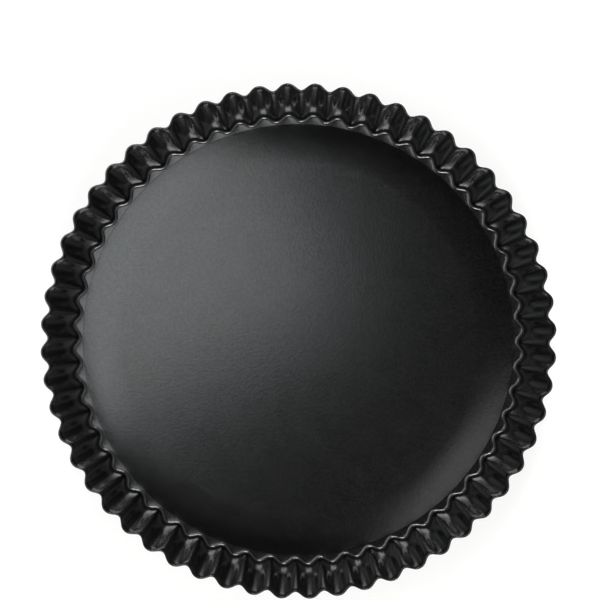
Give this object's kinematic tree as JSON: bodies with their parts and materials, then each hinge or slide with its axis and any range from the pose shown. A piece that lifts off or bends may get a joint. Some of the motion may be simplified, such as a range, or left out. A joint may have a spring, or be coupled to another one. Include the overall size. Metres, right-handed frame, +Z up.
{
  "type": "fluted flan dish",
  "caption": "Round baking dish with a leaning fluted wall, plain rim and a loose base disc that lies on a ledge inside the foot.",
  "frame": {"origin": "centre of the dish on the surface it stands on", "axes": "+Z up along the dish's axis, opening up; +X through a flute crest"},
  "size_m": [0.23, 0.23, 0.035],
  "materials": {
    "nonstick_coat": "black satin non-stick coating on pressed steel"
  },
  "bodies": {
    "root": {"fluted_ring": "nonstick_coat", "loose_base": "nonstick_coat"}
  },
  "joints": []
}
